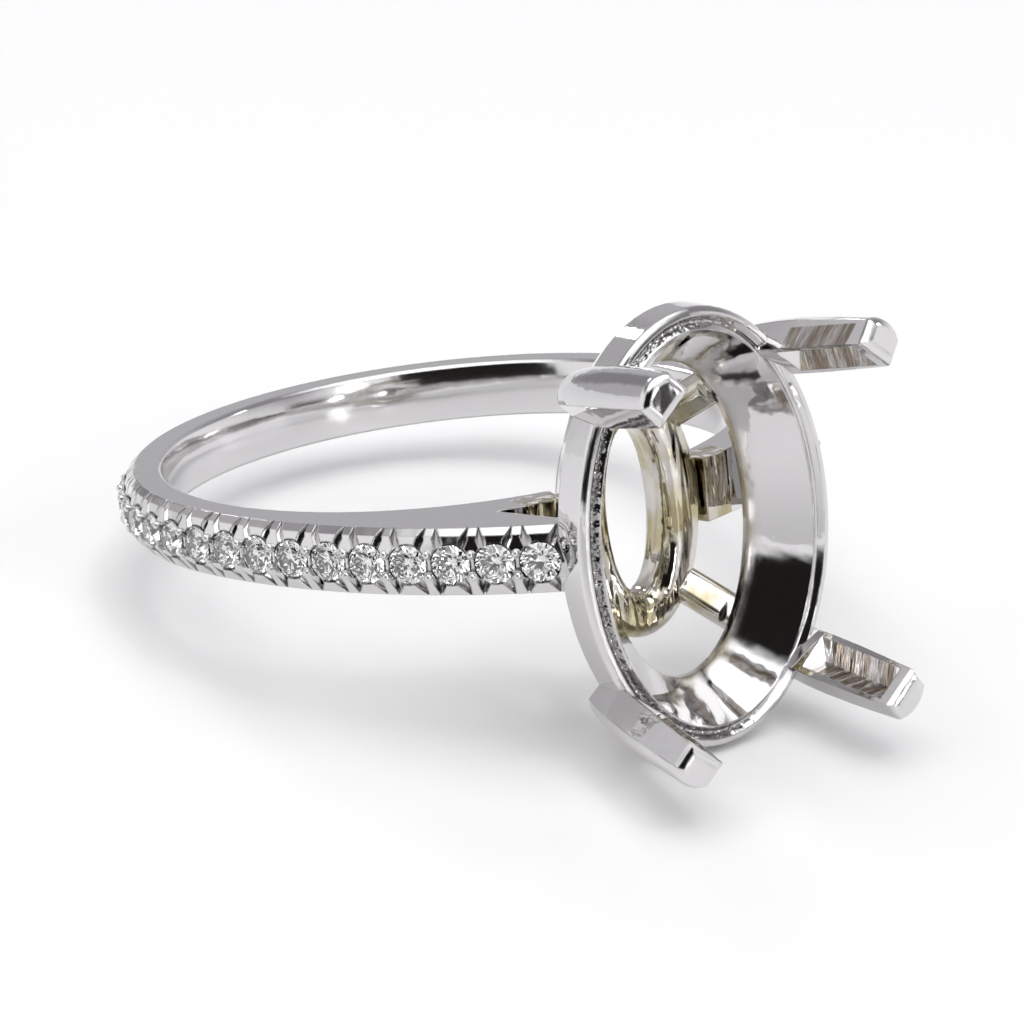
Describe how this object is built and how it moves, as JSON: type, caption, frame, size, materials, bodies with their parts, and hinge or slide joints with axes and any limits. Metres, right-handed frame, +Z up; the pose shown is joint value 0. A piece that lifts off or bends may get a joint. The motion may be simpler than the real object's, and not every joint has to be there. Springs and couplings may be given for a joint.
{
  "type": "semi mount ring setting",
  "caption": "Polished white-metal ring setting with an empty oval head between claws, and pavé stones along both shoulders of its band.",
  "frame": {"origin": "middle of the ring's footprint on the surface it lies on", "axes": "+X towards the empty head, +Y towards the left shoulder, +Z up; the finger axis leans back from +Z because the ring lies on two claw tips and the band's back"},
  "size_m": [0.0258, 0.0192, 0.0118],
  "materials": {
    "white_gold": "polished",
    "pave_stone": "clear, cut and polished"
  },
  "bodies": {
    "root": {"ring_mount": "white_gold", "pave_stone_left_01": "pave_stone", "pave_stone_left_02": "pave_stone", "pave_stone_left_03": "pave_stone", "pave_stone_left_04": "pave_stone", "pave_stone_left_05": "pave_stone", "pave_stone_left_06": "pave_stone", "pave_stone_left_07": "pave_stone", "pave_stone_left_08": "pave_stone", "pave_stone_left_09": "pave_stone", "pave_stone_left_10": "pave_stone", "pave_stone_left_11": "pave_stone", "pave_stone_left_12": "pave_stone", "pave_stone_left_13": "pave_stone", "pave_stone_left_14": "pave_stone", "pave_stone_left_15": "pave_stone", "pave_stone_left_16": "pave_stone", "pave_stone_left_17": "pave_stone", "pave_stone_left_18": "pave_stone", "pave_stone_right_01": "pave_stone", "pave_stone_right_02": "pave_stone", "pave_stone_right_03": "pave_stone", "pave_stone_right_04": "pave_stone", "pave_stone_right_05": "pave_stone", "pave_stone_right_06": "pave_stone", "pave_stone_right_07": "pave_stone", "pave_stone_right_08": "pave_stone", "pave_stone_right_09": "pave_stone", "pave_stone_right_10": "pave_stone", "pave_stone_right_11": "pave_stone", "pave_stone_right_12": "pave_stone", "pave_stone_right_13": "pave_stone", "pave_stone_right_14": "pave_stone", "pave_stone_right_15": "pave_stone", "pave_stone_right_16": "pave_stone", "pave_stone_right_17": "pave_stone", "pave_stone_right_18": "pave_stone"}
  },
  "joints": []
}
